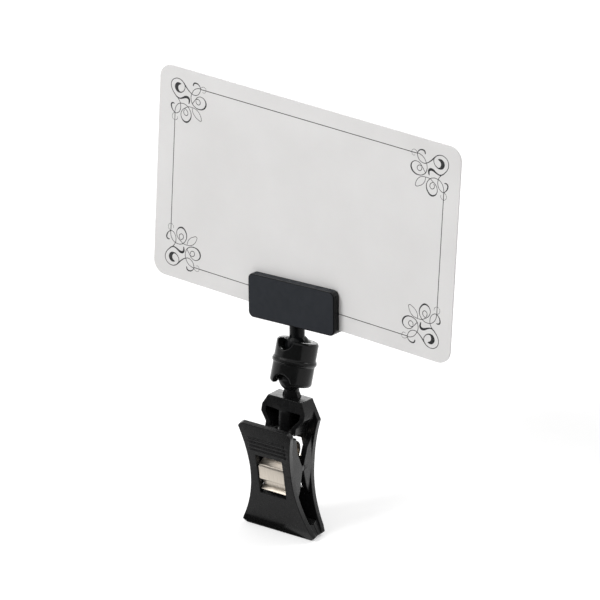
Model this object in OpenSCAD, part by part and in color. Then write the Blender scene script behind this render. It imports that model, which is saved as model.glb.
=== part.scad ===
// Clip-on place card holder: spring clamp, double ball coupler, card gripper and card.
// Frame: x along the jaws, -y towards the front jaw, z up, origin between the closed jaw lips.
// Lengths in millimetres.

/* [Card] */
// width of the card
card_width = 91; // [80:1:105]
// height of the card
card_height = 55; // [45:1:65]
// thickness of the card
card_thickness = 0.4; // [0.25:0.05:0.6]
// corner radius of the card
card_corner = 3.5; // [0:0.5:6]

/* [Gripper] */
// width of the gripper plates
gripper_width = 26.4; // [22:0.1:34]
// height of the gripper plates
gripper_height = 11.4; // [9:0.1:15]
// thickness of each gripper plate
gripper_wall = 2.2; // [1.6:0.1:2.4]
// play of the card in its slot, both sides together
slot_play = 0.1; // [0.04:0.02:0.2]
// thickness of the floor under the slot
gripper_floor = 1; // [0.8:0.1:1.6]
// corner radius of the gripper plates
gripper_corner = 1.5; // [0.5:0.1:3]

/* [Ball joints] */
// diameter of both balls
ball_diameter = 6.4; // [5:0.1:7]
// play between a ball and its socket, on the radius
ball_play = 0.05; // [0.02:0.01:0.1]
// diameter of both ball stems
stem_diameter = 3.8; // [3:0.1:4.2]
// room between the gripper and the barrel when the gripper lies level
nod_room = 0.5; // [0.4:0.1:2]
// length of the lower stem, from the rear jaw's top to the ball's centre
lower_stem = 4.4; // [4.2:0.1:6]
// distance of the lower stem from the pivot plane, at the rear jaw's top
stem_out = 2.925; // [2.8:0.005:3.1]
// depth of the lower stem's root below the rear jaw's top
root_depth = 1.7; // [1.4:0.1:2.4]
// width of the gusset where the lower stem meets its jaw
gusset_width = 5; // [3.8:0.1:6]
// height of that gusset above the jaw
gusset_height = 1.6; // [1:0.1:2]
// thickness of that gusset
gusset_depth = 1.4; // [1:0.1:2]

/* [Coupler] */
// diameter of the coupler barrel
barrel_diameter = 10.4; // [10:0.1:12]
// distance between the two ball centres
ball_span = 8; // [7.6:0.1:10]
// distance from a ball's centre to the near end of the barrel
rim_rise = 1.6; // [1.4:0.1:1.8]
// rounding of the barrel's two outer edges
barrel_round = 0.8; // [0.3:0.1:1]
// rounding radius of the bead around the barrel's middle
bead_radius = 0.8; // [0.6:0.05:1]
// height of the bead above the barrel
bead_proud = 0.35; // [0.2:0.01:0.4]
// height of the bead above the barrel's middle
bead_lift = 0.3; // [0:0.05:0.5]
// width of the U notch at each end of the barrel
notch_width = 5; // [4:0.1:5.4]
// depth of the U notches
notch_depth = 2.6; // [2.2:0.1:3]
// how much wider than its ball each socket's mouth is at the rim
mouth_extra = 0.8; // [0.4:0.1:1.2]
// depth of the bevel at each mouth
mouth_bevel = 0.6; // [0.3:0.1:0.8]

/* [Jaws] */
// width of the jaws at their lips
jaw_width = 22; // [18:0.5:26]
// width of the jaws at the waist
waist_width = 12.2; // [11.6:0.2:14]
// radius of the side curve below the waist
low_curve = 34; // [30:0.5:40]
// radius of the side curve above the waist
high_curve = 48; // [42:0.5:56]
// length of a jaw below the pivot
jaw_drop = 18; // [17:0.1:19]
// length of the front jaw above the pivot
front_rise = 13.7; // [12:0.1:14]
// length of the rear jaw above the pivot
rear_rise = 16.9; // [16:0.1:18]
// thickness of the jaw plates
jaw_plate = 1.5; // [1.3:0.1:1.8]
// thickness of the side flanges
flange_wall = 1.5; // [1.2:0.1:1.8]
// outer face to pivot, at the front jaw's top
front_out = 6.35; // [6:0.05:6.6]
// outer face to pivot, at the rear jaw's top
rear_out = 4.8; // [4.5:0.05:5]
// outer face to pivot, at the plates' bend
bend_out = 5.35; // [5:0.05:5.6]
// height of the plates' bend above the pivot
bend_up = 0.5; // [0:0.1:1]
// outer face to pivot, at the crease above the lips
crease_out = 4.95; // [4.6:0.05:5.2]
// outer face to pivot, at the lip's bottom edge
tip_out = 4.2; // [3.8:0.05:4.6]
// height of the lips
lip_height = 2.4; // [2:0.1:3]
// how far the ends of the lips stand in from the plates' edges
lip_inset = 0.5; // [0.4:0.05:0.6]
// chamfer of the jaw corners
corner_cut = 1.4; // [0.8:0.1:2]
// gap left between the closed lips
lip_gap = 0.02; // [0.01:0.01:0.04]
// reach of the rear jaw's flanges above the pivot, at the plate
flange_up = 8.2; // [7.5:0.1:8.5]
// height of the crest of the front jaw's flanges above the pivot
crest_up = 9.6; // [9.2:0.1:9.8]
// distance of that crest from the pivot plane
crest_out = 1.4; // [1.3:0.05:1.8]
// height of the flange's upper bend above the pivot
flange_bend_up = 5.2; // [4.8:0.1:5.6]
// distance of the flange's upper bend from the pivot plane
flange_bend_out = 1.5; // [1.3:0.05:1.8]
// reach of a flange below the pivot, at the plate
flange_down = 9.2; // [8.5:0.1:9.5]
// depth of the flange's lower bend below the pivot
flange_bend_down = 5.6; // [5.2:0.1:6]
// distance of the flange's lower bend from the pivot plane
flange_low_out = 2.1; // [1.9:0.05:2.4]
// radius of the pivot nose on the front jaw's flanges
nose_radius = 0.8; // [0.6:0.05:1]
// play between the pivot nose and its seat
nose_play = 0.05; // [0.02:0.01:0.1]

/* [Window and grip] */
// play of the spring strip in the windows, each side
window_play = 0.2; // [0.15:0.05:0.4]
// top of the front jaw's window above the pivot
window_up = 4.5; // [4:0.1:5]
// top of the rear jaw's window above the pivot
rear_window_up = 6.2; // [5.6:0.1:6.6]
// width of the rear jaw's window at its top
rear_window_top = 5.6; // [5:0.1:6.4]
// height above the pivot where the rear jaw's window starts to taper
window_taper_up = 2.2; // [1.8:0.1:3]
// bottom of the window below the cross bar
window_below = 4.6; // [4.4:0.1:4.8]
// width of the thumb ridges
ridge_width = 10.5; // [8:0.5:12]
// height of one thumb ridge
ridge_height = 0.6; // [0.4:0.1:0.8]
// how far the ridges stand out
ridge_proud = 0.25; // [0.1:0.05:0.4]
// spacing of the ridges
ridge_pitch = 1.15; // [1:0.05:1.4]
// number of ridges
ridge_count = 4; // [2:1:5]
// lowest ridge above the pivot
ridge_start = 5.6; // [5.4:0.1:6.2]

/* [Rear tray] */
// lower end of the tray above the pivot, at its front
tray_start = 8.6; // [8.4:0.1:9]
// lower end of the tray above the pivot, at the plate
tray_foot = 8; // [7.6:0.1:9]
// reach of the tray's lower end past the pivot plane
tray_low_over = 1.9; // [1.6:0.05:2]
// reach of the tray's top edge past the pivot plane
tray_high_over = 0.2; // [0:0.05:0.4]
// width of the tray
tray_width = 12.6; // [12:0.1:13]
// play between the tray's narrow foot and the front jaw's flanges, each side
foot_play = 0.15; // [0.1:0.05:0.3]
// height above the pivot where the tray begins to widen
taper_start = 10.4; // [10.3:0.1:10.8]
// height above the pivot where the tray has its full width
taper_end = 12.6; // [12:0.1:13]
// thickness of the tray's side walls
tray_wall = 1.3; // [1.1:0.1:1.5]
// thickness of the tray's top wall
tray_top = 2.9; // [2.4:0.1:3.2]
// diameter of the half-round rib in the tray
rib_diameter = 3.8; // [3.4:0.1:4.2]
// distance of the rib's axis from the pivot plane
rib_out = 0.8; // [0.6:0.05:1.2]
// start of the sloping shoulders above the pivot
shoulder_start = 11.9; // [11.5:0.1:13]
// width of the tray's top between the shoulders
shoulder_top = 9.9; // [9:0.1:11]

/* [Spring] */
// width of the spring strip
strip_width = 7.3; // [6.6:0.1:7.6]
// thickness of the spring strip
strip_thickness = 0.45; // [0.35:0.05:0.5]
// radius of the spring's loop
loop_radius = 2.5; // [2.3:0.05:2.6]
// top of the spring's loop above the pivot
loop_top = 6.5; // [6.4:0.05:6.6]
// radius of the crease under the loop
crease_radius = 0.45; // [0.4:0.05:0.6]
// radius of the shoulder, throat and lip bends
bend_radius = 0.45; // [0.4:0.05:0.5]
// play between the spring's arms and the cross bars
strip_play = 0.02; // [0.01:0.01:0.05]
// reach of the spring's arms below the cross bars
arm_below = 0.3; // [0.2:0.05:0.4]
// length of the throat, where the arm goes in under the bar
throat_run = 1; // [0.9:0.05:1.1]
// length of the heel below the throat
heel_run = 1.1; // [0.9:0.05:1.2]
// length of the flared lip
flare_run = 1.3; // [1.1:0.1:1.4]
// rounding of the flared lip's corners
lip_round = 0.6; // [0.4:0.1:0.8]
// turn of the loop on each side
loop_turn = 130; // [125:1:135]
// turn of the crease
crease_turn = 110; // [105:1:115]
// turn into the throat
throat_turn = 60; // [55:1:65]
// turn out to the flared lip
flare_turn = 60; // [55:1:65]
// outer face of the cross bar that the spring clasps, from the pivot plane
bar_out = 4.5; // [4.3:0.01:4.6]
// depth of the cross bar
bar_depth = 1.1; // [0.9:0.1:1.3]
// top of the cross bar below the pivot
bar_top = 0.5; // [0.3:0.1:0.8]
// bottom of the cross bar below the pivot
bar_bottom = 2.2; // [2:0.1:2.4]

/* [Rest pose] */
// lean of each jaw away from the mid plane
jaw_splay = 6.7; // [6:0.1:7.2]
// backward lean of the coupler on the lower ball
coupler_lean = 21; // [15:0.5:24]
// turn of the upper notch about the barrel
upper_notch_turn = -11.86; // [-20:0.01:20]
// turn of the lower notch about the barrel
lower_notch_turn = 1; // [-20:1:20]
// forward nod of the gripper on the upper ball
gripper_nod = 15.47; // [0:0.01:25]
// turn of the gripper about its own stem
gripper_turn = 7.39; // [-15:0.01:15]
// slant of the card in its slot
card_slant = 3.8; // [3.4:0.1:4]
// sideways offset of the card in its slot
card_shift = 2.35; // [1:0.05:4]
// gap between the card's low corner and the slot's floor
seat_gap = 0.02; // [0.01:0.01:0.1]

/* [Hidden] */
$fn = 96;
overrun = 1;
reach = 3 * jaw_width;
slot_width = card_thickness + slot_play;
gripper_depth = 2 * gripper_wall + slot_width;
card_rise = gripper_floor + seat_gap + card_height / 2 * cos(card_slant)
    + (gripper_width / 2 - card_shift + card_height / 2 * sin(card_slant)) * tan(card_slant);
ball_radius = ball_diameter / 2;
socket_radius = ball_radius + ball_play;
barrel_radius = barrel_diameter / 2;
gripper_drop = barrel_radius + nod_room;
mouth_diameter = ball_diameter + mouth_extra;
barrel_length = ball_span + 2 * rim_rise;
notch_radius = notch_width / 2;
pivot_height = (jaw_drop - lip_height / 2) / cos(jaw_splay);
window_width = strip_width + 2 * window_play;
window_down = bar_bottom + window_below;
window_half = window_width / 2;
crease_z = lip_height - jaw_drop;
stem_root = pivot_height + rear_rise - root_depth;
ball_height = stem_root + root_depth + lower_stem;
ball_back = stem_out * cos(jaw_splay) + rear_rise * sin(jaw_splay);
rib_height = rear_rise - tray_top / 2 - tray_foot;
rib_depth = rear_out - jaw_plate / 2 - rib_out;
inner_half = waist_width / 2 - flange_wall;
foot_half = inner_half - foot_play;
bar_height = bar_bottom - bar_top;
facet_turn = 6;
jaw_across = [cos(jaw_splay), -sin(jaw_splay)];
jaw_along = [sin(jaw_splay), cos(jaw_splay)];
loop_pieces = [[loop_radius, -loop_turn], [crease_radius, crease_turn]];
loop_path = walk([0, loop_top], 0, loop_pieces, 0);
crease_end = loop_path[len(loop_path) - 1];
shoulder_turn = loop_turn - crease_turn - 90 - jaw_splay;
shoulder_step = turned([0, 0], crease_end[1], bend_radius, shoulder_turn);
shoulder_way = [cos(crease_end[1]), sin(crease_end[1])];
shoulder_run = (bar_out + strip_play + strip_thickness / 2 - (crease_end[0] + shoulder_step) * jaw_across)
    / (shoulder_way * jaw_across);
arm_start = crease_end[0] + shoulder_run * shoulder_way + shoulder_step;
arm_run = arm_start * jaw_along + bar_bottom + arm_below;
arm_pieces = concat(loop_pieces, [
    [shoulder_run, 0],
    [bend_radius, shoulder_turn],
    [arm_run, 0],
    [bend_radius, -throat_turn],
    [throat_run, 0],
    [bend_radius, throat_turn],
    [heel_run, 0],
    [bend_radius, flare_turn],
    [flare_run, 0]
]);
arm_path = walk([0, loop_top], 0, arm_pieces, 0);
over = [for (s = arm_path) s[0] + strip_thickness / 2 * [-sin(s[1]), cos(s[1])]];
under = [for (s = arm_path) s[0] - strip_thickness / 2 * [-sin(s[1]), cos(s[1])]];
lip_low = min([for (p = concat(over, under)) p[1]]);
shoulder_run_x = half_width(shoulder_start, high_curve) - shoulder_top / 2;
shoulder_angle = atan2(shoulder_run_x, rear_rise - shoulder_start);

// half width of a jaw at a height above the pivot
function half_width(z, curve) = waist_width / 2 + curve - sqrt(curve * curve - z * z);

// point reached from p, heading h, by a turn of a at a radius, left for plus
function turned(p, h, radius, a) =
    p + radius * sign(a) * [sin(h + a) - sin(h), cos(h) - cos(h + a)];

// [point, heading] stops along one piece of the spring: a straight run or a turn
function stops(p, h, piece) =
    piece[1] == 0
        ? [[p + piece[0] * [cos(h), sin(h)], h]]
        : let (n = ceil(abs(piece[1]) / facet_turn))
            [for (i = [1 : n]) [turned(p, h, piece[0], piece[1] * i / n), h + piece[1] * i / n]];

// stops along all pieces from number i on
function walk(p, h, pieces, i) =
    i == len(pieces)
        ? []
        : let (done = stops(p, h, pieces[i]), last = done[len(done) - 1])
            concat(done, walk(last[0], last[1], pieces, i + 1));

// list in reverse order, and points mirrored to the other side
function backward(list) = [for (i = [len(list) - 1 : -1 : 0]) list[i]];
function flipped(list) = [for (p = list) [-p[0], p[1]]];

// frames of the pieces
module at_pivot(lean) {
    translate([0, 0, pivot_height])
        rotate([lean, 0, 0])
            children();
}

module at_coupler() {
    translate([0, ball_back, ball_height])
        rotate([-coupler_lean, 0, 0])
            children();
}

module at_gripper() {
    at_coupler()
        translate([0, 0, ball_span])
            rotate([0, 0, upper_notch_turn])
                rotate([gripper_nod, 0, 0])
                    rotate([0, 0, gripper_turn])
                        children();
}

module at_card() {
    at_gripper()
        translate([card_shift, 0, gripper_drop + card_rise])
            rotate([0, card_slant, 0])
                children();
}

// plate in the xz plane, centred, with rounded corners
module rounded_plate(width, depth, height, corner) {
    difference() {
        cube([width, depth, height], center = true);
        for (side = [-1, 1], end = [-1, 1])
            translate([side * (width / 2 - corner), 0, end * (height / 2 - corner)])
                corner_waste(side, end, depth + overrun, corner);
    }
}

// what a rounded corner leaves of its square
module corner_waste(side, end, depth, corner) {
    difference() {
        translate([side * corner, 0, end * corner])
            cube([2 * corner, depth, 2 * corner], center = true);
        rotate([90, 0, 0])
            cylinder(r = corner, h = depth + overrun, center = true);
    }
}

// prism along x from a side view given as [y, z] points
module side_prism(points, width) {
    rotate([90, 0, 90])
        linear_extrude(height = width, center = true)
            polygon(points);
}

// what the side curve takes off a jaw, above (end 1) or below (end -1) the waist
module curve_waste(side, end, curve, inset) {
    intersection() {
        translate([side * (waist_width / 2 + curve), 0, 0])
            rotate([90, 0, 0])
                cylinder(r = curve + inset, h = reach, center = true);
        translate([0, 0, end * reach / 2])
            cube([2 * reach, reach, reach], center = true);
    }
}

// hourglass outline of a jaw, drawn in by an inset
module outline(rise, inset) {
    difference() {
        translate([-jaw_width / 2, -reach / 2, -jaw_drop])
            cube([jaw_width, reach, jaw_drop + rise]);
        for (side = [-1, 1]) {
            curve_waste(side, -1, low_curve, inset);
            curve_waste(side, 1, high_curve, inset);
        }
    }
}

// chamfer tool along y at a corner of the outline
module corner_tool(x, z) {
    for (side = [-1, 1])
        translate([side * x, 0, z])
            rotate([0, 45, 0])
                cube([corner_cut * sqrt(2), reach, corner_cut * sqrt(2)], center = true);
}

// plate and lip of one jaw, plate on the -y side, pivot at the origin
module jaw_face(rise, top_out) {
    intersection() {
        outline(rise, 0);
        side_prism([
            [-top_out, rise],
            [-bend_out, bend_up],
            [-crease_out, crease_z],
            [-tip_out, -jaw_drop],
            [jaw_plate - tip_out, -jaw_drop],
            [jaw_plate - crease_out, crease_z],
            [jaw_plate - bend_out, bend_up],
            [jaw_plate - top_out, rise]
        ], jaw_width);
    }
    intersection() {
        outline(rise, lip_inset);
        side_prism([
            [jaw_plate / 2 - tip_out, -jaw_drop],
            [0, -jaw_drop],
            [0, crease_z],
            [jaw_plate - crease_out, crease_z + jaw_plate],
            [jaw_plate / 2 - crease_out, crease_z]
        ], jaw_width);
    }
}

// the two flat side flanges that reach to the pivot, with the points of their upper end
module flanges(upper_end) {
    for (side = [-1, 1])
        translate([side * (waist_width - flange_wall) / 2, 0, 0])
            side_prism(concat(upper_end, [
                [-flange_bend_out, flange_bend_up],
                [0, 0],
                [-flange_low_out, -flange_bend_down],
                [jaw_plate / 2 - bend_out, -flange_down]
            ]), flange_wall);
}

// plate with its window, flanges and cross bar; opening lists the window's right corners from its taper up
module jaw_body(rise, top_out, opening, upper_end) {
    difference() {
        union() {
            difference() {
                jaw_face(rise, top_out);
                rotate([90, 0, 0])
                    linear_extrude(height = bend_out + overrun)
                        polygon(concat(
                            [[-window_half, -window_down], [window_half, -window_down]],
                            opening,
                            [for (i = [len(opening) - 1 : -1 : 0]) [-opening[i].x, opening[i].y]]
                        ));
            }
            flanges(upper_end);
            translate([-inner_half - flange_wall / 2, -bar_out, -bar_bottom])
                cube([2 * inner_half + flange_wall, bar_depth, bar_height]);
        }
        corner_tool(jaw_width / 2, -jaw_drop);
    }
}

// everything on the far side of the mid plane, kept off the lips
module lip_waste() {
    translate([-reach / 2, -lip_gap / 2, -pivot_height / 2 - lip_height])
        cube([reach, reach, pivot_height]);
}

// walls of the rear jaw's tray and the half-round rib down its middle, plate on the -y side
module tray() {
    intersection() {
        union() {
            difference() {
                tray_block(0, rear_rise);
                difference() {
                    tray_block(tray_wall, rear_rise - tray_top);
                    shoulder_tool(tray_wall);
                }
            }
            translate([0, -rib_out, tray_foot])
                rib();
        }
        side_prism([
            [jaw_plate / 2 - rear_out, tray_foot],
            [jaw_plate / 2 - rear_out, rear_rise],
            [tray_high_over, rear_rise],
            [tray_low_over, tray_start]
        ], jaw_width);
    }
}

// outline of the tray from the front, drawn in by an inset
module tray_block(inset, top) {
    foot = foot_half - inset;
    wide = tray_width / 2 - inset;
    rotate([90, 0, 0])
        linear_extrude(height = reach, center = true)
            polygon([
                [-foot, 0],
                [foot, 0],
                [foot, taper_start],
                [wide, taper_end],
                [wide, top],
                [-wide, top],
                [-wide, taper_end],
                [-foot, taper_start]
            ]);
}

module rib() {
    cylinder(d = rib_diameter, h = rib_height);
    translate([-rib_diameter / 2, -rib_depth, 0])
        cube([rib_diameter, rib_depth, rib_height]);
}

// slopes that take off the rear jaw's upper corners, drawn in by an inset
module shoulder_tool(inset) {
    for (side = [-1, 1])
        translate([side * half_width(shoulder_start, high_curve), 0, shoulder_start])
            rotate([0, -side * shoulder_angle, 0])
                translate([side * (reach / 2 - inset), 0, 0])
                    cube([reach, reach, reach], center = true);
}

module rear_jaw() {
    color([0.06, 0.06, 0.065])
    union() {
        difference() {
            at_pivot(-jaw_splay)
                mirror([0, 1, 0])
                    difference() {
                        union() {
                            jaw_body(rear_rise, rear_out, [
                                [window_half, window_taper_up],
                                [rear_window_top / 2, rear_window_up]
                            ], [[jaw_plate / 2 - rear_out, flange_up]]);
                            tray();
                        }
                        shoulder_tool(0);
                        rotate([0, 90, 0])
                            cylinder(r = nose_radius + nose_play, h = reach, center = true);
                    }
            mirror([0, 1, 0])
                lip_waste();
        }
        translate([0, ball_back, 0])
            stem_and_ball();
    }
}

// lower stem, rooted in the tray's top wall, with its gusset and ball
module stem_and_ball() {
    translate([0, 0, stem_root])
        cylinder(d = stem_diameter, h = ball_height - stem_root);
    translate([0, 0, stem_root])
        rotate([90, 0, 0])
            linear_extrude(height = gusset_depth, center = true)
                polygon([
                    [-gusset_width / 2, 0],
                    [gusset_width / 2, 0],
                    [gusset_width / 2, root_depth / 2],
                    [stem_diameter / 2, root_depth / 2 + gusset_height],
                    [-stem_diameter / 2, root_depth / 2 + gusset_height],
                    [-gusset_width / 2, root_depth / 2]
                ]);
    translate([0, 0, ball_height])
        sphere(d = ball_diameter);
}

module front_jaw() {
    color([0.06, 0.06, 0.065])
    difference() {
        at_pivot(jaw_splay)
            union() {
                difference() {
                    jaw_body(front_rise, front_out, [[window_half, window_up]], [
                        [jaw_plate / 2 - front_out, crest_up + jaw_plate / 2],
                        [-crest_out, crest_up]
                    ]);
                    corner_tool(half_width(front_rise, high_curve), front_rise);
                }
                for (side = [-1, 1])
                    translate([side * (waist_width - flange_wall) / 2, 0, 0])
                        rotate([0, 90, 0])
                            cylinder(r = nose_radius, h = flange_wall, center = true);
                for (i = [0 : ridge_count - 1])
                    ridge(ridge_start + i * ridge_pitch);
            }
        lip_waste();
    }
}

// one thumb ridge on the front jaw's outer face
module ridge(z) {
    lean = atan2(bend_out - front_out, front_rise - bend_up);
    translate([0, -bend_out, bend_up])
        rotate([-lean, 0, 0])
            translate([-ridge_width / 2, -ridge_proud, z - bend_up])
                cube([ridge_width, jaw_plate / 2, ridge_height]);
}

// strip spring: one loop between the handles, with the same arm at either end
module jaw_spring() {
    color([0.76, 0.72, 0.68])
    translate([0, 0, pivot_height])
        difference() {
            side_prism(concat(flipped(backward(over)), over, backward(under), flipped(under)), strip_width);
            for (side = [-1, 1])
                translate([side * (strip_width / 2 - lip_round), 0, lip_low + lip_round])
                    corner_waste(side, -1, reach, lip_round);
        }
}

// one socket: the ball's seat, its bevelled mouth and the U notch, opening upwards
module socket(turn) {
    sphere(r = socket_radius);
    translate([0, 0, rim_rise - mouth_bevel])
        cylinder(d1 = mouth_diameter - 2 * mouth_bevel, d2 = mouth_diameter + 2 * overrun,
            h = mouth_bevel + overrun);
    rotate([0, 0, turn])
        translate([0, 0, rim_rise - notch_depth + notch_radius]) {
            rotate([90, 0, 0])
                cylinder(r = notch_radius, h = barrel_diameter);
            translate([-notch_radius, -barrel_diameter, 0])
                cube([notch_width, barrel_diameter, notch_depth]);
        }
}

module coupler() {
    color([0.07, 0.07, 0.075])
    at_coupler()
        difference() {
            translate([0, 0, -rim_rise])
                barrel();
            mirror([0, 0, 1])
                socket(lower_notch_turn);
            translate([0, 0, ball_span])
                socket(upper_notch_turn);
        }
}

// barrel with rounded ends and the bead around its middle
module barrel() {
    translate([0, 0, barrel_round])
        cylinder(r = barrel_radius, h = barrel_length - 2 * barrel_round);
    cylinder(r = barrel_radius - barrel_round, h = barrel_length);
    for (z = [barrel_round, barrel_length - barrel_round])
        translate([0, 0, z])
            ring(barrel_radius - barrel_round, barrel_round);
    translate([0, 0, barrel_length / 2 + bead_lift])
        ring(barrel_radius + bead_proud - bead_radius, bead_radius);
}

module ring(radius, thick) {
    rotate_extrude()
        translate([radius, 0])
            circle(r = thick);
}

module card_gripper() {
    color([0.2, 0.2, 0.21])
    at_gripper() {
        sphere(d = ball_diameter);
        cylinder(d = stem_diameter, h = gripper_drop + gripper_floor / 2);
        difference() {
            translate([0, 0, gripper_drop + gripper_height / 2])
                rounded_plate(gripper_width, gripper_depth, gripper_height, gripper_corner);
            translate([-gripper_width, -slot_width / 2, gripper_drop + gripper_floor])
                cube([2 * gripper_width, slot_width, gripper_height]);
        }
    }
}

module card() {
    color([0.86, 0.86, 0.85])
    at_card()
        rounded_plate(card_width, card_thickness, card_height, card_corner);
}

rear_jaw();
front_jaw();
jaw_spring();
coupler();
card_gripper();
card();
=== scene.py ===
import math

import bpy
from mathutils import Matrix, Vector


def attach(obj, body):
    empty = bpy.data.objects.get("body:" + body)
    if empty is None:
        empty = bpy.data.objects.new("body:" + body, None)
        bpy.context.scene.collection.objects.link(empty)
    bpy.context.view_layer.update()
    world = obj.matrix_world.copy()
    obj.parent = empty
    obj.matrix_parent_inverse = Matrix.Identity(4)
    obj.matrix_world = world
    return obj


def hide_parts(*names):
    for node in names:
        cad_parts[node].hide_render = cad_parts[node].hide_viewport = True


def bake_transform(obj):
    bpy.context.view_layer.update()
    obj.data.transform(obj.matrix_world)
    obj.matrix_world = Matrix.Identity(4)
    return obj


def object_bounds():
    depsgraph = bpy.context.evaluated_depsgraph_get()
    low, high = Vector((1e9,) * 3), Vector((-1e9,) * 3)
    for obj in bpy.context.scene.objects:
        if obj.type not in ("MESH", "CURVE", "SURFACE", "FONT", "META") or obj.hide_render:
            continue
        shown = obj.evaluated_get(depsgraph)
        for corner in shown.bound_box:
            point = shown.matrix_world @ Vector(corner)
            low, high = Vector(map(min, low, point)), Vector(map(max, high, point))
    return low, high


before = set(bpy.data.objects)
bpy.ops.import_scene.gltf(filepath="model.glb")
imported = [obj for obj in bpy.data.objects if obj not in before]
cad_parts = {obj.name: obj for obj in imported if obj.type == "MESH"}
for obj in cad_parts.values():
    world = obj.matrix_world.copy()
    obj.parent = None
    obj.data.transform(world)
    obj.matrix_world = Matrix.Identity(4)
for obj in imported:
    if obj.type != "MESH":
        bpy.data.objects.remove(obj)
cad_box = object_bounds()

MM = 0.001

# place and turn of the camera that took the photo
CAMERA_AT = (583.67 * MM, -857.56 * MM, 561.83 * MM)
CAMERA_AZIMUTH = math.radians(33.95)
CAMERA_ELEVATION = math.radians(25.76)
CAMERA_ROLL = math.radians(-1.26)
CAMERA_LENS = 285.0

# middle of the card's printed face, with the ways across and up it
CARD_MIDDLE = Vector((0.40775, 10.95208, 80.61531)) * MM
CARD_ACROSS = Vector((0.9974440, -0.0713194, -0.0043719))
CARD_UP = Vector((0.0113100, 0.0971697, 0.9952036))
CARD_WIDTH = 91.0
CARD_HEIGHT = 55.0

# printed frame line, in mm from the card's edges
FRAME_LEFT = 5.0
FRAME_RIGHT = 4.43
FRAME_TOP = 4.05
FRAME_BOTTOM = 4.27
FRAME_LINE = 0.2
SCROLL_REACH = (12.6, 11.9)

# rise of the ink over the card's face, as a share of a stroke's half width
INK_RISE = 0.05

# the upper ball's centre, its stem's way up and how far up the gripper's plate begins
UPPER_BALL = Vector((0, 7.7439, 45.6842)) * MM
STEM_WAY = Vector((-0.054819, 0.101683, 0.993305))
PLATE_DROP = 5.65 * MM

# where the lower stem leaves the rear jaw's top wall
STEM_ROOT = Vector((0, 4.877, 32.6)) * MM

# the jaws' pivot, how far each leans out from it and half the waist's width
PIVOT_HEIGHT = 16.9155 * MM
JAW_SPLAY = math.radians(6.7)
WAIST_HALF = 6.1 * MM

# ranges on a jaw, out from its middle plane and up from the pivot
WAIST_STEP = (-0.1 * MM, 0.4 * MM)
WAIST_OUT = (3.3 * MM, 4.5 * MM)
LIP_OUT = (0.5 * MM, 3.6 * MM)
LIP_SIDE = (10.3 * MM, -15.8 * MM)
LIP_TIP = (9.3 * MM, -17.6 * MM)
HANDLE_OUT = (5.2 * MM, 6.0 * MM)
HANDLE_CORNER = (6.2 * MM, 11.5 * MM)

# reach of the lower stem round its axis, and of the upper stem's root past the plate
STEM_REACH = 3.0 * MM
ROOT_MARGIN = 0.4 * MM

# widths of the eased edges
JAW_EASE = 0.16 * MM
CORNER_EASE = 0.55 * MM
COUPLER_EASE = 0.34 * MM
GRIPPER_EASE = 0.3 * MM

# edges sharper than the first angle are eased, faces flatter than the second look smooth
SHARP_ANGLE = math.radians(35)
SMOOTH_ANGLE = math.radians(40)
ROUND_ANGLE = math.radians(30)
SLIVER = 0.002 * MM

# how far the side branch of the scrolls on the left stands further in,
# and from where down and over what length it gets there, in mm
LEFT_SPREAD = 0.57
BRANCH_START = 4.4
BRANCH_LENGTH = 8.2

# glow of the floor where it is seen, and the room's light on the object
FLOOR_LIFT = 0.38
ROOM_LEVEL = 0.6

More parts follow.
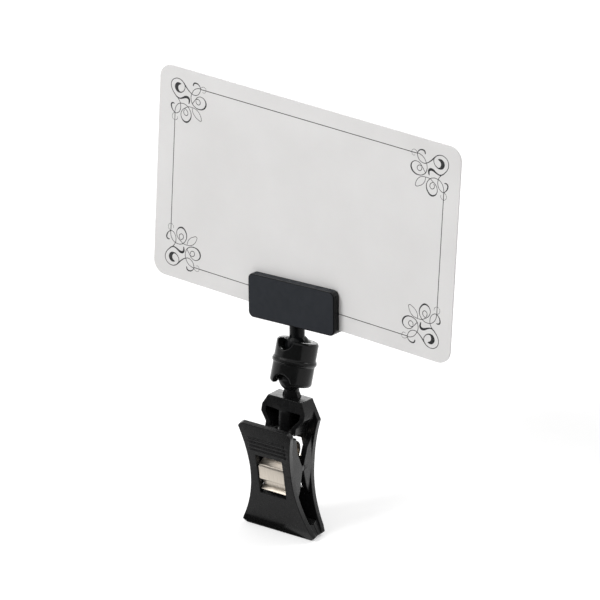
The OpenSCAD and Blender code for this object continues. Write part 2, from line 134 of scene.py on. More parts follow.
# scroll strokes as (in from the edge, down from the top, width), all in mm
SCROLL_STROKES = [
    # eye of the big curl, swelling to a crescent, then out round the curl
    [(6.62, 4.10, 0.10), (6.30, 4.10, 0.45), (5.55, 4.35, 0.95), (5.15, 5.10, 1.12),
     (5.40, 5.85, 0.90), (6.05, 6.25, 0.40), (6.75, 6.15, 0.24), (7.45, 5.60, 0.20),
     (7.83, 4.75, 0.18), (7.75, 4.20, 0.18), (7.35, 3.55, 0.18), (6.60, 3.05, 0.19),
     (5.60, 2.87, 0.19), (4.55, 3.15, 0.19), (3.75, 3.90, 0.19), (3.48, 4.85, 0.19),
     (3.70, 5.90, 0.20), (4.40, 6.90, 0.22), (5.40, 7.75, 0.30), (6.10, 7.85, 0.30),
     (7.00, 7.55, 0.42), (7.90, 7.12, 0.62), (8.60, 7.10, 0.68), (9.05, 7.50, 0.55),
     (9.05, 8.10, 0.42), (8.90, 8.65, 0.22)],
    # line from the top of the big curl to the upper petal, then on round that petal
    [(6.30, 2.98, 0.17), (7.10, 3.35, 0.22), (7.78, 4.05, 0.34), (8.70, 5.00, 0.26),
     (9.85, 5.82, 0.20), (10.75, 6.02, 0.17), (11.85, 5.62, 0.17), (12.50, 4.75, 0.17),
     (12.62, 3.88, 0.18), (12.20, 3.20, 0.24), (11.35, 2.82, 0.34), (10.62, 3.00, 0.38),
     (10.33, 3.70, 0.28)],
    # stem from the upper petal down and out round the right curl to its eye
    [(12.62, 3.90, 0.18), (11.60, 4.12, 0.17), (10.60, 4.75, 0.16), (9.95, 5.75, 0.17),
     (9.65, 6.60, 0.17), (9.68, 7.50, 0.18), (10.10, 8.45, 0.22), (10.90, 9.05, 0.20),
     (12.00, 9.30, 0.24), (13.20, 9.05, 0.34), (14.10, 8.20, 0.44), (14.30, 7.30, 0.36),
     (13.80, 6.40, 0.22), (12.75, 6.00, 0.17), (11.75, 6.30, 0.17), (11.05, 7.05, 0.17),
     (10.05, 8.25, 0.17)],
    [(11.15, 7.00, 0.17), (11.80, 6.80, 0.18), (12.42, 7.20, 0.18), (12.40, 7.90, 0.18),
     (11.80, 8.20, 0.18), (11.25, 7.85, 0.17), (11.18, 7.25, 0.17)],
    # leaf on the diagonal
    [(9.92, 9.35, 0.14), (10.05, 10.35, 0.15), (10.60, 11.25, 0.15), (11.50, 11.90, 0.15),
     (12.68, 12.15, 0.16), (12.70, 11.50, 0.15), (12.30, 10.55, 0.15), (11.60, 9.80, 0.15),
     (10.70, 9.42, 0.15), (9.92, 9.35, 0.14)],
    # lower petal, from the big curl round to its hook
    [(5.45, 7.85, 0.20), (6.05, 8.60, 0.17), (6.32, 9.60, 0.17), (6.15, 10.75, 0.17),
     (5.50, 11.60, 0.17), (4.65, 11.90, 0.18), (3.90, 11.45, 0.22), (3.42, 10.60, 0.34),
     (3.42, 9.85, 0.38), (3.90, 9.52, 0.34), (4.40, 9.57, 0.20)],
    # stem from the lower petal over and down round the lower curl to its eye
    [(4.42, 11.90, 0.18), (4.55, 11.00, 0.17), (5.00, 9.98, 0.17), (5.85, 9.22, 0.17),
     (6.75, 8.98, 0.17), (7.80, 9.05, 0.18), (8.75, 9.60, 0.18), (9.40, 10.55, 0.19),
     (9.55, 11.60, 0.24), (9.10, 12.70, 0.34), (8.10, 13.50, 0.44), (7.20, 13.35, 0.34),
     (6.45, 12.55, 0.20), (6.38, 11.55, 0.17), (6.85, 10.65, 0.17), (7.70, 9.98, 0.17),
     (8.75, 9.42, 0.16), (9.90, 9.32, 0.14)],
    [(7.55, 10.10, 0.17), (8.20, 10.45, 0.18), (8.55, 11.05, 0.18), (8.25, 11.75, 0.18),
     (7.60, 11.75, 0.18), (7.22, 11.10, 0.17), (7.50, 10.40, 0.17)],
    # faint curls round the two ends of the frame line
    [(12.62, 3.88, 0.13), (13.10, 3.42, 0.10), (13.75, 3.28, 0.10), (14.25, 3.62, 0.09),
     (14.30, 4.20, 0.09), (13.85, 4.75, 0.10), (13.25, 4.62, 0.08)],
    [(4.42, 11.90, 0.13), (3.80, 12.30, 0.10), (3.58, 12.95, 0.10), (3.95, 13.60, 0.09),
     (4.60, 13.75, 0.09), (5.20, 13.30, 0.10), (5.25, 12.70, 0.08)],
]


# select one object alone and make it the active one
def only(piece):
    bpy.ops.object.select_all(action="DESELECT")
    piece.select_set(True)
    bpy.context.view_layer.objects.active = piece


# a copy of a CAD node with its loose triangles joined
def moulding_from(node, name):
    piece = bpy.data.objects.new(name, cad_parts[node].data.copy())
    bpy.context.scene.collection.objects.link(piece)
    only(piece)
    bpy.ops.object.mode_set(mode="EDIT")
    bpy.ops.mesh.select_all(action="SELECT")
    bpy.ops.mesh.remove_doubles(threshold=0.0005 * MM)
    bpy.ops.mesh.customdata_custom_splitnormals_clear()
    bpy.ops.object.mode_set(mode="OBJECT")
    return piece


# places on the lower stem, its gusset and its ball
def on_lower_stem(point):
    return point.z > STEM_ROOT.z and (point - STEM_ROOT).xy.length < STEM_REACH


# how far out from and up along a jaw's own middle plane a point lies, from the pivot
def on_jaw(point):
    rise = point.z - PIVOT_HEIGHT
    out = abs(point.y) * math.cos(JAW_SPLAY) - rise * math.sin(JAW_SPLAY)
    up = abs(point.y) * math.sin(JAW_SPLAY) + rise * math.cos(JAW_SPLAY)
    return out, up


# places on a jaw's waist, where the plate's inner edge runs out on the flange
def on_waist(point):
    out, _ = on_jaw(point)
    step = abs(point.x) - WAIST_HALF
    return WAIST_STEP[0] < step < WAIST_STEP[1] and WAIST_OUT[0] < out < WAIST_OUT[1]


# places on the edges through a jaw's plate at the lip's and the handle's cut corners
def on_corner(point):
    out, up = on_jaw(point)
    aside = abs(point.x)
    lip_side = aside > LIP_SIDE[0] and up < LIP_SIDE[1]
    lip_tip = aside > LIP_TIP[0] and up < LIP_TIP[1]
    if (lip_side or lip_tip) and LIP_OUT[0] < out < LIP_OUT[1]:
        return True
    handle_end = aside > HANDLE_CORNER[0] and up > HANDLE_CORNER[1]
    return handle_end and HANDLE_OUT[0] < out < HANDLE_OUT[1]


# places on the rear jaw whose edges stay as moulded
def rear_jaw_spared(point):
    return on_lower_stem(point) or on_waist(point)


# places on the upper stem and its ball, down to its root on the gripper's plate
def on_upper_stem(point):
    return (point - UPPER_BALL).length < PLATE_DROP + ROOT_MARGIN


# select a piece's sharp edges
def pick_sharp(piece):
    only(piece)
    bpy.ops.object.mode_set(mode="EDIT")
    bpy.ops.mesh.select_mode(type="EDGE")
    bpy.ops.mesh.select_all(action="DESELECT")
    bpy.ops.mesh.edges_select_sharp(sharpness=SHARP_ANGLE)
    bpy.ops.object.mode_set(mode="OBJECT")


# middle of an edge
def edge_middle(piece, edge):
    return sum((piece.data.vertices[v].co for v in edge.vertices), Vector()) / 2


# drop the slivers that a bevel leaves, shade the roundings smooth and keep the flats flat
def settle_edges(piece):
    bpy.ops.object.mode_set(mode="EDIT")
    bpy.ops.mesh.select_all(action="SELECT")
    bpy.ops.mesh.dissolve_degenerate(threshold=SLIVER)
    bpy.ops.object.mode_set(mode="OBJECT")
    bpy.ops.object.shade_smooth_by_angle(angle=SMOOTH_ANGLE)
    normals = piece.modifiers.new("flat_faces", "WEIGHTED_NORMAL")
    normals.keep_sharp = True
    normals.weight = 80
    bpy.ops.object.modifier_apply(modifier=normals.name)


# round a piece's sharp edges, sparing those round a stem's root
def ease_edges(piece, width, steps, spared=None):
    pick_sharp(piece)
    if spared:
        for edge in piece.data.edges:
            if spared(edge_middle(piece, edge)):
                edge.select = False
    bpy.ops.object.mode_set(mode="EDIT")
    bpy.ops.mesh.bevel(offset=width, segments=steps, clamp_overlap=False, loop_slide=False)
    bpy.ops.object.mode_set(mode="OBJECT")
    settle_edges(piece)


# round a jaw's sharp edges in one go, with its cut corners rounder than the rest
def round_jaw(jaw, steps, spared):
    pick_sharp(jaw)
    weights = jaw.data.attributes.new("bevel_weight_edge", "FLOAT", "EDGE")
    for edge in jaw.data.edges:
        middle = edge_middle(jaw, edge)
        if edge.select and not spared(middle):
            weights.data[edge.index].value = 1.0 if on_corner(middle) else JAW_EASE / CORNER_EASE
    bevel = jaw.modifiers.new("eased", "BEVEL")
    bevel.width = CORNER_EASE
    bevel.segments = steps
    bevel.limit_method = "WEIGHT"
    bevel.offset_type = "OFFSET"
    bevel.use_clamp_overlap = False
    bevel.loop_slide = False
    bpy.ops.object.modifier_apply(modifier=bevel.name)
    settle_edges(jaw)


# make a piece stand for a node on its body, with its finish
def fit_piece(piece, body, node, material):
    piece.data.materials.clear()
    piece.data.materials.append(material)
    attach(piece, body)
    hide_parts(node)


# give the gripper's stem, ball and sides a smoother finish in a darker tint, a painted shade, and
# its upper edges a brighter, shinier one, a painted highlight
def shade_and_highlight_gripper(piece, smooth_shaded, bright):
    piece.data.materials.append(smooth_shaded)
    piece.data.materials.append(bright)
    facing = CARD_ACROSS.cross(CARD_UP)
    for face in piece.data.polygons:
        up = face.normal.dot(CARD_UP)
        if (face.center - UPPER_BALL).dot(STEM_WAY) < PLATE_DROP:
            face.material_index = 1
        # faces tilted sideways or down get the darker finish, painted shade; upward edges get the
        # shinier one, painted highlight
        elif abs(face.normal.dot(facing)) < 0.98 and up < 0.95:
            face.material_index = 1 if up < 0.3 else 2


# a new material with its nodes, links and shader
def new_finish(name):
    material = bpy.data.materials.new(name)
    material.use_nodes = True
    nodes = material.node_tree.nodes
    shader = nodes["Principled BSDF"]
    shader.location = (300, 0)
    nodes["Material Output"].location = (620, 0)
    return material, nodes, material.node_tree.links, shader


# node group: colour drift, gloss drift and fine grain of a moulded plastic skin
def make_mould_skin():
    group = bpy.data.node_groups.new("mould_skin", "ShaderNodeTree")
    face = group.interface
    tint = face.new_socket("Tint", in_out="INPUT", socket_type="NodeSocketColor")
    tint.default_value = (0.02, 0.02, 0.02, 1)
    defaults = (("Drift", 0.25), ("Gloss Low", 0.25), ("Gloss High", 0.4), ("Grain", 5000.0))
    for label, value in defaults:
        socket = face.new_socket(label, in_out="INPUT", socket_type="NodeSocketFloat")
        socket.default_value = value
    face.new_socket("Color", in_out="OUTPUT", socket_type="NodeSocketColor")
    face.new_socket("Roughness", in_out="OUTPUT", socket_type="NodeSocketFloat")
    face.new_socket("Height", in_out="OUTPUT", socket_type="NodeSocketFloat")
    nodes = group.nodes
    links = group.links
    enter = nodes.new("NodeGroupInput")
    enter.location = (-900, 0)
    leave = nodes.new("NodeGroupOutput")
    leave.location = (600, 0)
    place = nodes.new("ShaderNodeTexCoord")
    place.location = (-900, -300)

    clouds = nodes.new("ShaderNodeTexNoise")
    clouds.location = (-600, 200)
    clouds.inputs["Scale"].default_value = 260.0
    clouds.inputs["Detail"].default_value = 4.0
    links.new(place.outputs["Object"], clouds.inputs["Vector"])

    lighten = nodes.new("ShaderNodeMix")
    lighten.location = (-300, 200)
    lighten.data_type = "RGBA"
    lighten.blend_type = "SCREEN"
    links.new(enter.outputs["Tint"], lighten.inputs["A"])
    links.new(enter.outputs["Tint"], lighten.inputs["B"])
    amount = nodes.new("ShaderNodeMath")
    amount.location = (-450, 50)
    amount.operation = "MULTIPLY"
    links.new(clouds.outputs["Fac"], amount.inputs[0])
    links.new(enter.outputs["Drift"], amount.inputs[1])
    links.new(amount.outputs["Value"], lighten.inputs["Factor"])
    links.new(lighten.outputs["Result"], leave.inputs["Color"])

    smears = nodes.new("ShaderNodeTexNoise")
    smears.location = (-600, -100)
    smears.inputs["Scale"].default_value = 700.0
    smears.inputs["Detail"].default_value = 6.0
    links.new(place.outputs["Object"], smears.inputs["Vector"])
    gloss = nodes.new("ShaderNodeMapRange")
    gloss.location = (-300, -100)
    gloss.inputs["From Min"].default_value = 0.35
    gloss.inputs["From Max"].default_value = 0.65
    links.new(smears.outputs["Fac"], gloss.inputs["Value"])
    links.new(enter.outputs["Gloss Low"], gloss.inputs["To Min"])
    links.new(enter.outputs["Gloss High"], gloss.inputs["To Max"])
    links.new(gloss.outputs["Result"], leave.inputs["Roughness"])

    grain = nodes.new("ShaderNodeTexNoise")
    grain.location = (-600, -400)
    grain.inputs["Detail"].default_value = 3.0
    links.new(place.outputs["Object"], grain.inputs["Vector"])
    links.new(enter.outputs["Grain"], grain.inputs["Scale"])
    links.new(grain.outputs["Fac"], leave.inputs["Height"])
    return group


# plastic finish from the shared skin
def plastic_finish(name, skin, tint, drift, shine, gloss_low, gloss_high, grain, depth):
    material, nodes, links, shader = new_finish(name)
    shader.inputs["Specular IOR Level"].default_value = shine
    surface = nodes.new("ShaderNodeGroup")
    surface.node_tree = skin
    surface.location = (-300, 0)
    surface.inputs["Tint"].default_value = (*tint, 1)
    surface.inputs["Drift"].default_value = drift
    surface.inputs["Gloss Low"].default_value = gloss_low
    surface.inputs["Gloss High"].default_value = gloss_high
    surface.inputs["Grain"].default_value = grain
    bump = nodes.new("ShaderNodeBump")
    bump.location = (0, -250)
    bump.inputs["Strength"].default_value = 0.6
    bump.inputs["Distance"].default_value = depth
    links.new(surface.outputs["Color"], shader.inputs["Base Color"])
    links.new(surface.outputs["Roughness"], shader.inputs["Roughness"])
    links.new(surface.outputs["Height"], bump.inputs["Height"])
    links.new(bump.outputs["Normal"], shader.inputs["Normal"])
    return material


# pale uncoated card: faint fibres, soft clouding and a slightly uneven face
def card_finish():
    material, nodes, links, shader = new_finish("pale_card")
    place = nodes.new("ShaderNodeTexCoord")
    place.location = (-1100, 0)
    clouds = nodes.new("ShaderNodeTexNoise")
    clouds.location = (-800, 250)
    clouds.inputs["Scale"].default_value = 55.0
    clouds.inputs["Detail"].default_value = 5.0
    links.new(place.outputs["Object"], clouds.inputs["Vector"])
    shade = nodes.new("ShaderNodeValToRGB")
    shade.location = (-550, 250)
    shade.color_ramp.elements[0].position = 0.3
    shade.color_ramp.elements[0].color = (0.652, 0.643, 0.637, 1)
    shade.color_ramp.elements[1].position = 0.7
    shade.color_ramp.elements[1].color = (0.693, 0.685, 0.68, 1)
    links.new(clouds.outputs["Fac"], shade.inputs["Fac"])
    stretch = nodes.new("ShaderNodeMapping")
    stretch.location = (-900, -200)
    stretch.inputs["Scale"].default_value = (900.0, 900.0, 4200.0)
    links.new(place.outputs["Object"], stretch.inputs["Vector"])
    fibres = nodes.new("ShaderNodeTexNoise")
    fibres.location = (-700, -200)
    fibres.inputs["Scale"].default_value = 1.0
    fibres.inputs["Detail"].default_value = 6.0
    fibres.inputs["Distortion"].default_value = 1.4
    links.new(stretch.outputs["Vector"], fibres.inputs["Vector"])
    fleck = nodes.new("ShaderNodeMix")
    fleck.location = (-250, 200)
    fleck.data_type = "RGBA"
    fleck.blend_type = "MULTIPLY"
    fleck.inputs["Factor"].default_value = 0.05
    links.new(shade.outputs["Color"], fleck.inputs["A"])
    links.new(fibres.outputs["Color"], fleck.inputs["B"])
    links.new(fleck.outputs["Result"], shader.inputs["Base Color"])
    tooth = nodes.new("ShaderNodeMapRange")
    tooth.location = (-350, -100)
    tooth.inputs["To Min"].default_value = 0.55
    tooth.inputs["To Max"].default_value = 0.75
    links.new(fibres.outputs["Fac"], tooth.inputs["Value"])
    links.new(tooth.outputs["Result"], shader.inputs["Roughness"])
    bump = nodes.new("ShaderNodeBump")
    bump.location = (0, -300)
    bump.inputs["Strength"].default_value = 0.25
    bump.inputs["Distance"].default_value = 0.01 * MM
    links.new(fibres.outputs["Fac"], bump.inputs["Height"])
    links.new(bump.outputs["Normal"], shader.inputs["Normal"])
    return material


# printing ink: dark grey, thinner in places where the card shows through
def ink_finish():
    material, nodes, links, shader = new_finish("scroll_ink")
    place = nodes.new("ShaderNodeTexCoord")
    place.location = (-900, 0)
    cover = nodes.new("ShaderNodeTexNoise")
    cover.location = (-650, 0)
    cover.inputs["Scale"].default_value = 1800.0
    cover.inputs["Detail"].default_value = 4.0
    links.new(place.outputs["Object"], cover.inputs["Vector"])
    shade = nodes.new("ShaderNodeValToRGB")
    shade.location = (-350, 100)
    shade.color_ramp.elements[0].position = 0.35
    shade.color_ramp.elements[0].color = (0.012, 0.012, 0.013, 1)
    shade.color_ramp.elements[1].position = 0.75
    shade.color_ramp.elements[1].color = (0.03, 0.03, 0.032, 1)
    links.new(cover.outputs["Fac"], shade.inputs["Fac"])
    links.new(shade.outputs["Color"], shader.inputs["Base Color"])
    dry = nodes.new("ShaderNodeMapRange")
    dry.location = (-350, -200)
    dry.inputs["To Min"].default_value = 0.5
    dry.inputs["To Max"].default_value = 0.8
    links.new(cover.outputs["Fac"], dry.inputs["Value"])
    links.new(dry.outputs["Result"], shader.inputs["Roughness"])
    return material


# plated spring strip: warm silver with fine lines along its length
def spring_finish():
    material, nodes, links, shader = new_finish("plated_strip")
    place = nodes.new("ShaderNodeTexCoord")
    place.location = (-1100, 0)
    stretch = nodes.new("ShaderNodeMapping")
    stretch.location = (-900, 0)
    stretch.inputs["Scale"].default_value = (3500.0, 250.0, 250.0)
    links.new(place.outputs["Object"], stretch.inputs["Vector"])
    lines = nodes.new("ShaderNodeTexNoise")
    lines.location = (-700, 0)
    lines.inputs["Scale"].default_value = 1.0
    lines.inputs["Detail"].default_value = 2.0
    links.new(stretch.outputs["Vector"], lines.inputs["Vector"])
    shade = nodes.new("ShaderNodeValToRGB")
    shade.location = (-400, 200)
    shade.color_ramp.elements[0].position = 0.3
    shade.color_ramp.elements[0].color = (0.61, 0.55, 0.475, 1)
    shade.color_ramp.elements[1].position = 0.7
    shade.color_ramp.elements[1].color = (0.69, 0.63, 0.55, 1)
    links.new(lines.outputs["Fac"], shade.inputs["Fac"])
    links.new(shade.outputs["Color"], shader.inputs["Base Color"])
    gloss = nodes.new("ShaderNodeMapRange")
    gloss.location = (-400, -100)
    gloss.inputs["To Min"].default_value = 0.25
    gloss.inputs["To Max"].default_value = 0.36
    links.new(lines.outputs["Fac"], gloss.inputs["Value"])
    links.new(gloss.outputs["Result"], shader.inputs["Roughness"])
    shader.inputs["Metallic"].default_value = 1.0
    bump = nodes.new("ShaderNodeBump")
    bump.location = (0, -300)
    bump.inputs["Strength"].default_value = 0.012
    bump.inputs["Distance"].default_value = 0.01 * MM
    links.new(lines.outputs["Fac"], bump.inputs["Height"])
    links.new(bump.outputs["Normal"], shader.inputs["Normal"])
    return material


# where a point of the drawn card face lies in the frame
def card_face():
    out = CARD_ACROSS.cross(CARD_UP)
    turn = Matrix((CARD_ACROSS, CARD_UP, out)).transposed().to_4x4()
    return Matrix.Translation(CARD_MIDDLE) @ turn


# one pen stroke as a ribbon that swells and thins, pressed nearly flat
def pen_stroke(points):
    bpy.ops.object.select_all(action="DESELECT")
    bpy.ops.curve.primitive_bezier_curve_add(radius=MM)
    stroke = bpy.context.object
    stroke.data.resolution_u = 5
    stroke.data.bevel_depth = MM
    stroke.data.bevel_resolution = 1
    stroke.data.use_fill_caps = True
    line = stroke.data.splines[0]
    line.bezier_points.add(len(points) - 2)
    for spot, (x, y, width) in zip(line.bezier_points, points):
        spot.co = (x * MM, y * MM, 0.0)
        spot.radius = width / 2
        spot.handle_left_type = "AUTO"
        spot.handle_right_type = "AUTO"
    bpy.ops.object.convert(target="MESH")
    bpy.ops.object.mode_set(mode="EDIT")
    bpy.ops.mesh.select_all(action="SELECT")
    bpy.ops.transform.resize(value=(1.0, 1.0, INK_RISE), center_override=(0.0, 0.0, 0.0))
    bpy.ops.object.mode_set(mode="OBJECT")
    return bpy.context.object


# the scroll of one corner, seen from the card's middle
def corner_scroll(side, end):
    strokes = []
    for points in SCROLL_STROKES:
        placed = []
        for inward, down, width in points:
            branch = min(max((down - BRANCH_START) / BRANCH_LENGTH, 0.0), 1.0)
            spread = LEFT_SPREAD * branch if side < 0 else 0.0
            drop = FRAME_BOTTOM - FRAME_TOP if end < 0 else 0.0
            x = side * (CARD_WIDTH / 2 - inward - spread)
            y = end * (CARD_HEIGHT / 2 - down - drop)
            placed.append((x, y, width))
        strokes.append(pen_stroke(placed))
    return strokes


# frame line between the scrolls, one straight stroke for each side
def frame_lines():
    left = -CARD_WIDTH / 2 + FRAME_LEFT
    right = CARD_WIDTH / 2 - FRAME_RIGHT
    top = CARD_HEIGHT / 2 - FRAME_TOP
    bottom = -CARD_HEIGHT / 2 + FRAME_BOTTOM
    across = CARD_WIDTH / 2 - SCROLL_REACH[0]
    up = CARD_HEIGHT / 2 - SCROLL_REACH[1]
    return [
        pen_stroke([(-across, top, FRAME_LINE), (across, top, FRAME_LINE)]),
        pen_stroke([(-across, bottom, FRAME_LINE), (across, bottom, FRAME_LINE)]),
        pen_stroke([(left, -up, FRAME_LINE), (left, up, FRAME_LINE)]),
        pen_stroke([(right, -up, FRAME_LINE), (right, up, FRAME_LINE)]),
    ]


# the whole print as one piece on the card's face
def card_print():
    strokes = frame_lines()
    for side in (-1, 1):
        for end in (-1, 1):
            strokes += corner_scroll(side, end)
    bpy.ops.object.select_all(action="DESELECT")
    for stroke in strokes:
        stroke.select_set(True)
    bpy.context.view_layer.objects.active = strokes[0]
    bpy.ops.object.join()
    printed = bpy.context.object
    printed.name = "card_print"
    printed.matrix_world = card_face()
    only(printed)
    bpy.ops.object.transform_apply(location=True, rotation=True, scale=True)
    bpy.ops.object.shade_smooth_by_angle(angle=ROUND_ANGLE)
    return printed


# one for rays that show the background: to the camera, in gloss and through glass
def seen_rays(nodes, links):
    ray = nodes.new("ShaderNodeLightPath")
    mirrored = nodes.new("ShaderNodeMath")
    mirrored.operation = "MAXIMUM"
    links.new(ray.outputs["Is Glossy Ray"], mirrored.inputs[0])
    links.new(ray.outputs["Is Transmission Ray"], mirrored.inputs[1])
    seen = nodes.new("ShaderNodeMath")
    seen.operation = "MAXIMUM"
    links.new(ray.outputs["Is Camera Ray"], seen.inputs[0])
    links.new(mirrored.outputs["Value"], seen.inputs[1])
    return seen.outputs["Value"]


# floor finish: white to the camera and in reflections, with the object's soft shadow
def floor_finish():
    material = bpy.data.materials.new("studio_white")
    material.use_nodes = True
    nodes = material.node_tree.nodes
    links = material.node_tree.links
    nodes.remove(nodes["Principled BSDF"])
    matt = nodes.new("ShaderNodeBsdfDiffuse")
    matt.inputs["Color"].default_value = (0.75, 0.75, 0.75, 1)
    lift = nodes.new("ShaderNodeMath")
    lift.operation = "MULTIPLY"
    lift.inputs[1].default_value = FLOOR_LIFT
    links.new(seen_rays(nodes, links), lift.inputs[0])
    glow = nodes.new("ShaderNodeEmission")
    glow.inputs["Color"].default_value = (1, 1, 1, 1)
    links.new(lift.outputs["Value"], glow.inputs["Strength"])
    both = nodes.new("ShaderNodeAddShader")
    links.new(matt.outputs["BSDF"], both.inputs[0])
    links.new(glow.outputs["Emission"], both.inputs[1])
    links.new(both.outputs["Shader"], nodes["Material Output"].inputs["Surface"])
    return material


# dull black cloth of the flags, seen only in gloss: painted shade in the object's reflections
def dark_reflection_finish():
    material, _, _, shader = new_finish("painted_dark_reflection")
    shader.inputs["Base Color"].default_value = (0.02, 0.02, 0.02, 1)
    shader.inputs["Roughness"].default_value = 1.0
    shader.inputs["Specular IOR Level"].default_value = 0.0
    return material


# evenly glowing face of a panel, seen only in gloss: painted highlights and painted reflections
def glow_reflection_finish(name, glow):
    material, _, _, shader = new_finish(name)
    shader.inputs["Base Color"].default_value = (0.8, 0.8, 0.8, 1)
    shader.inputs["Roughness"].default_value = 1.0
    shader.inputs["Emission Color"].default_value = (1, 1, 1, 1)
    shader.inputs["Emission Strength"].default_value = glow
    return material


# a flat flag or panel that only the gloss of the object sees, so it paints shade or light into the
# object's reflections and nothing else
def gloss_board(name, place, size, turn, cloth):
    bpy.ops.object.select_all(action="DESELECT")
    bpy.ops.mesh.primitive_plane_add(size=1.0, location=place)
    board = bpy.context.object
    board.name = name
    board.scale = (*size, 1.0)
    board.rotation_euler = [math.radians(a) for a in turn]
    board.visible_camera = False
    board.visible_diffuse = False
    board.visible_shadow = False
    board.data.materials.append(cloth)


# even white room, brighter to the camera than to the object
def light_room(level):
    world = bpy.data.worlds.new("white_room")
    world.use_nodes = True
    bpy.context.scene.world = world
    nodes = world.node_tree.nodes
    links = world.node_tree.links
    sky = nodes["Background"]
    sky.inputs["Color"].default_value = (1, 1, 1, 1)
    mix = nodes.new("ShaderNodeMix")
    mix.inputs["A"].default_value = level
    mix.inputs["B"].default_value = 1.0
    links.new(seen_rays(nodes, links), mix.inputs["Factor"])
    links.new(mix.outputs["Result"], sky.inputs["Strength"])


# a soft square lamp aimed at the object, hidden from its gloss where a panel takes over
def soft_lamp(name, place, size, power, in_gloss):
    data = bpy.data.lights.new(name, "AREA")
    data.size = size
    data.energy = power
    lamp = bpy.data.objects.new(name, data)
    lamp.location = place
    aim = Vector((0, 0, 0.05)) - Vector(place)
    lamp.rotation_euler = aim.to_track_quat("-Z", "Y").to_euler()
    lamp.visible_glossy = in_gloss
    bpy.context.scene.collection.objects.link(lamp)


skin = make_mould_skin()
jaw_black = plastic_finish(
    "satin_black_jaw", skin, (0.005, 0.005, 0.0052), 0.5, 0.17, 0.22, 0.34, 5200.0, 0.006 * MM)
coupler_black = plastic_finish(
    "satin_black_coupler", skin, (0.005, 0.0052, 0.0052), 0.5, 0.17, 0.14, 0.24, 5200.0, 0.006 * MM)
gripper_charcoal = plastic_finish(
    "matt_charcoal_gripper", skin, (0.0148, 0.0168, 0.0207),
    0.3, 0.17, 0.46, 0.6, 4200.0, 0.02 * MM)
# darker, smoother black for the gripper's stem, ball and lower sides: painted shade
painted_shade_black = plastic_finish(
    "smooth_black_painted_shade", skin, (0.003, 0.0032, 0.0035), 0.5, 0.11, 0.16, 0.26, 5200.0, 0.004 * MM)
# shinier black for the gripper's upper edges: painted highlight
painted_highlight_black = plastic_finish(
    "bright_black_painted_highlight", skin, (0.006, 0.0064, 0.007), 0.5, 0.3, 0.16, 0.24, 5200.0, 0.004 * MM)
card_grey = card_finish()
ink = ink_finish()
strip_silver = spring_finish()

# the four mouldings, the strip, the card and its print
rear_jaw = moulding_from("rear_jaw", "rear_jaw_moulding")
round_jaw(rear_jaw, 3, rear_jaw_spared)
fit_piece(rear_jaw, "clamp", "rear_jaw", jaw_black)

front_jaw = moulding_from("front_jaw", "front_jaw_moulding")
round_jaw(front_jaw, 3, on_waist)
fit_piece(front_jaw, "front_jaw", "front_jaw", jaw_black)

coupler = moulding_from("coupler", "coupler_moulding")
ease_edges(coupler, COUPLER_EASE, 4)
fit_piece(coupler, "coupler", "coupler", coupler_black)

gripper = moulding_from("card_gripper", "gripper_moulding")
ease_edges(gripper, GRIPPER_EASE, 3, on_upper_stem)
fit_piece(gripper, "gripper", "card_gripper", gripper_charcoal)
shade_and_highlight_gripper(gripper, painted_shade_black, painted_highlight_black)

strip = moulding_from("jaw_spring", "jaw_spring_strip")
only(strip)
bpy.ops.object.shade_smooth_by_angle(angle=ROUND_ANGLE)
strip.data.materials.clear()
strip.data.materials.append(strip_silver)
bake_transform(strip)
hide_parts("jaw_spring")

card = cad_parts["card"]
card.data.materials.clear()
card.data.materials.append(card_grey)

printed = card_print()
printed.data.materials.clear()
printed.data.materials.append(ink)
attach(printed, "card")

# floor that shows white to the camera and still takes a soft shadow
bpy.ops.object.select_all(action="DESELECT")
bpy.ops.mesh.primitive_plane_add(size=6.0, location=(0, 0, cad_box[0][2]))
floor = bpy.context.object
floor.name = "studio_floor"
floor.data.materials.append(floor_finish())

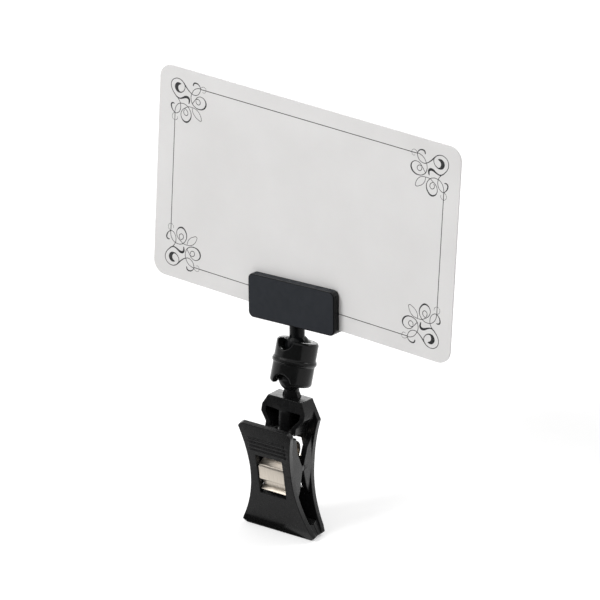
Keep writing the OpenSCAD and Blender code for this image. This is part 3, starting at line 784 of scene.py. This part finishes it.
# black flags on the floor in front, under the lips and behind the camera, seen only in gloss:
# painted shade in the reflections, those under the lips standing for the floor's shade there;
# pale glowing panels behind, on the left and on the floor behind on the right, also seen only in
# gloss: painted highlights, and on the floor a painted reflection that hides the floor's shadow
painted_dark_reflection = dark_reflection_finish()
painted_highlight_back = glow_reflection_finish("painted_highlight_back", 3.7)
painted_highlight_left = glow_reflection_finish("painted_highlight_left", 2.5)
painted_reflection_floor = glow_reflection_finish("painted_reflection_floor", 1.1)
ground = cad_box[0][2]
for board in (
    ("floor_dark_reflection", (0.118, -0.298, ground + 0.5 * MM), (0.24, 0.6), (0, 0, 21.7), painted_dark_reflection),
    ("lip_dark_reflection", (-0.0115, 0.0002, ground + 0.4 * MM), (0.025, 0.0112), (0, 0, 0), painted_dark_reflection),
    ("lip_end_dark_reflection", (0.0043, -0.0001, ground + 0.3 * MM), (0.0105, 0.006), (0, 0, 14), painted_dark_reflection),
    ("stand_dark_reflection", (0.2, -1.5, 0.5), (4.0, 1.3), (90, 0, 8), painted_dark_reflection),
    ("back_glow_reflection", (-0.85, 1.2, 0.33), (1.3, 0.66), (90, 0, 35), painted_highlight_back),
    ("left_glow_reflection", (-0.91, -0.33, 1.2), (0.9, 0.8), (0, -40, 20), painted_highlight_left),
    ("floor_glow_reflection", (0.034, 0.042, ground + 0.5 * MM), (0.05, 0.06), (0, 0, 0), painted_reflection_floor),
):
    gloss_board(*board)

light_room(ROOM_LEVEL)
soft_lamp("key_lamp", (-0.7, -1.1, 1.2), 0.65, 17.0, False)
soft_lamp("back_lamp", (0.6, 1.1, 1.3), 0.9, 9.0, True)

camera_data = bpy.data.cameras.new("photo_camera")
camera_data.lens = CAMERA_LENS
camera_data.sensor_width = 36.0
camera_data.clip_end = 20.0
camera = bpy.data.objects.new("photo_camera", camera_data)
camera.location = CAMERA_AT
tilt = Matrix.Rotation(math.pi / 2 - CAMERA_ELEVATION, 3, "X")
turn = Matrix.Rotation(CAMERA_AZIMUTH, 3, "Z") @ tilt
camera.rotation_euler = (turn @ Matrix.Rotation(CAMERA_ROLL, 3, "Z")).to_euler()
bpy.context.scene.collection.objects.link(camera)
bpy.context.scene.camera = camera

bpy.context.scene.view_settings.view_transform = "Standard"
